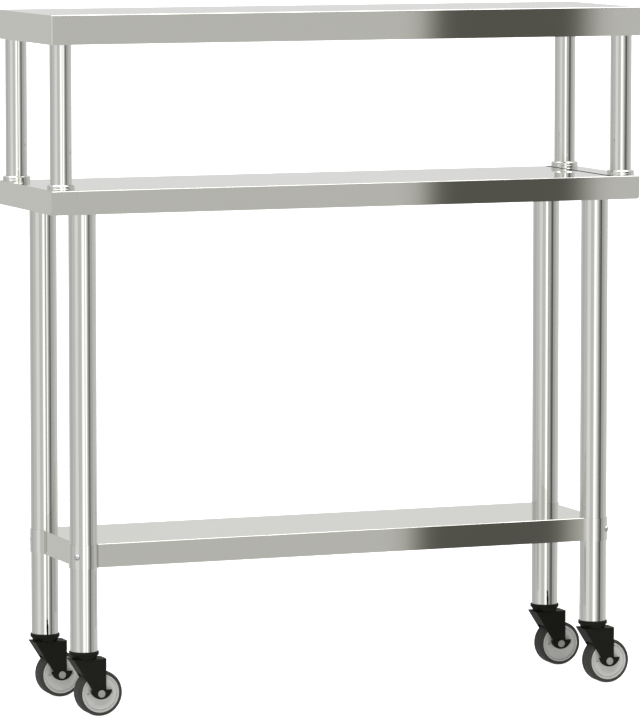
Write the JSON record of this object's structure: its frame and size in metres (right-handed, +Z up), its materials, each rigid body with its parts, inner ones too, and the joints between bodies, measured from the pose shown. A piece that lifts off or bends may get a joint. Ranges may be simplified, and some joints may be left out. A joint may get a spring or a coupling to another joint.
{
  "type": "mobile stainless steel work table",
  "caption": "Narrow stainless steel work table on swivel casters, with a raised overshelf on posts, a flat worktop and a lower shelf between round tubular legs.",
  "frame": {"origin": "on the floor, below the middle of the table", "axes": "+X along the table, the front faces -Y, +Z up"},
  "size_m": [1.1, 0.3, 1.214],
  "materials": {
    "sheet_steel": "satin stainless sheet",
    "tube_steel": "polished stainless tube",
    "cast_steel": "cast sockets, dull",
    "fastener_steel": "plated fasteners",
    "black_plastic": "moulded, fine texture",
    "hub_plastic": "moulded light grey",
    "cap_plastic": "moulded grey caps",
    "tyre_rubber": "dark grey non-marking rubber"
  },
  "bodies": {
    "table": {"base_strip_left": "sheet_steel", "base_strip_right": "sheet_steel", "caster_plug_bl": "black_plastic", "caster_plug_br": "black_plastic", "caster_plug_fl": "black_plastic", "caster_plug_fr": "black_plastic", "clamp_bolts": "fastener_steel", "clamp_nuts": "fastener_steel", "leg_bl": "tube_steel", "leg_br": "tube_steel", "leg_clamp_bl": "sheet_steel", "leg_clamp_br": "sheet_steel", "leg_clamp_fl": "sheet_steel", "leg_clamp_fr": "sheet_steel", "leg_fl": "tube_steel", "leg_fr": "tube_steel", "leg_sockets": "cast_steel", "lower_shelf": "sheet_steel", "lower_shelf_channel": "sheet_steel", "overshelf": "sheet_steel", "overshelf_channel": "sheet_steel", "overshelf_sockets": "cast_steel", "post_bl": "tube_steel", "post_bolts": "fastener_steel", "post_br": "tube_steel", "post_collar_bl": "sheet_steel", "post_collar_br": "sheet_steel", "post_collar_fl": "sheet_steel", "post_collar_fr": "sheet_steel", "post_fl": "tube_steel", "post_fr": "tube_steel", "post_plugs": "black_plastic", "socket_screws": "fastener_steel", "swivel_stem_bl": "fastener_steel", "swivel_stem_br": "fastener_steel", "swivel_stem_fl": "fastener_steel", "swivel_stem_fr": "fastener_steel", "worktop": "sheet_steel", "worktop_channel": "sheet_steel"},
    "swivel_fl": {"fork_fl": "black_plastic", "axle_fl": "fastener_steel", "axle_caps_fl": "cap_plastic"},
    "wheel_fl": {"hub_fl": "hub_plastic", "tyre_fl": "tyre_rubber"},
    "swivel_fr": {"fork_fr": "black_plastic", "axle_fr": "fastener_steel", "axle_caps_fr": "cap_plastic"},
    "wheel_fr": {"hub_fr": "hub_plastic", "tyre_fr": "tyre_rubber"},
    "swivel_bl": {"fork_bl": "black_plastic", "axle_bl": "fastener_steel", "axle_caps_bl": "cap_plastic"},
    "wheel_bl": {"hub_bl": "hub_plastic", "tyre_bl": "tyre_rubber"},
    "swivel_br": {"fork_br": "black_plastic", "axle_br": "fastener_steel", "axle_caps_br": "cap_plastic"},
    "wheel_br": {"hub_br": "hub_plastic", "tyre_br": "tyre_rubber"}
  },
  "joints": [
    {"name": "swivel_turn_fl", "type": "hinge", "parent": "table", "child": "swivel_fl", "pos_m": [-0.482, -0.107, 0.1005], "axis": [0, 0, 1], "continuous": true},
    {"name": "wheel_spin_fl", "type": "hinge", "parent": "swivel_fl", "child": "wheel_fl", "pos_m": [-0.457, -0.107, 0.04], "axis": [0, 1, 0], "continuous": true},
    {"name": "swivel_turn_fr", "type": "hinge", "parent": "table", "child": "swivel_fr", "pos_m": [0.482, -0.107, 0.1005], "axis": [0, 0, 1], "continuous": true},
    {"name": "wheel_spin_fr", "type": "hinge", "parent": "swivel_fr", "child": "wheel_fr", "pos_m": [0.507, -0.107, 0.04], "axis": [0, 1, 0], "continuous": true},
    {"name": "swivel_turn_bl", "type": "hinge", "parent": "table", "child": "swivel_bl", "pos_m": [-0.482, 0.107, 0.1005], "axis": [0, 0, 1], "continuous": true},
    {"name": "wheel_spin_bl", "type": "hinge", "parent": "swivel_bl", "child": "wheel_bl", "pos_m": [-0.457, 0.107, 0.04], "axis": [0, 1, 0], "continuous": true},
    {"name": "swivel_turn_br", "type": "hinge", "parent": "table", "child": "swivel_br", "pos_m": [0.482, 0.107, 0.1005], "axis": [0, 0, 1], "continuous": true},
    {"name": "wheel_spin_br", "type": "hinge", "parent": "swivel_br", "child": "wheel_br", "pos_m": [0.507, 0.107, 0.04], "axis": [0, 1, 0], "continuous": true}
  ]
}
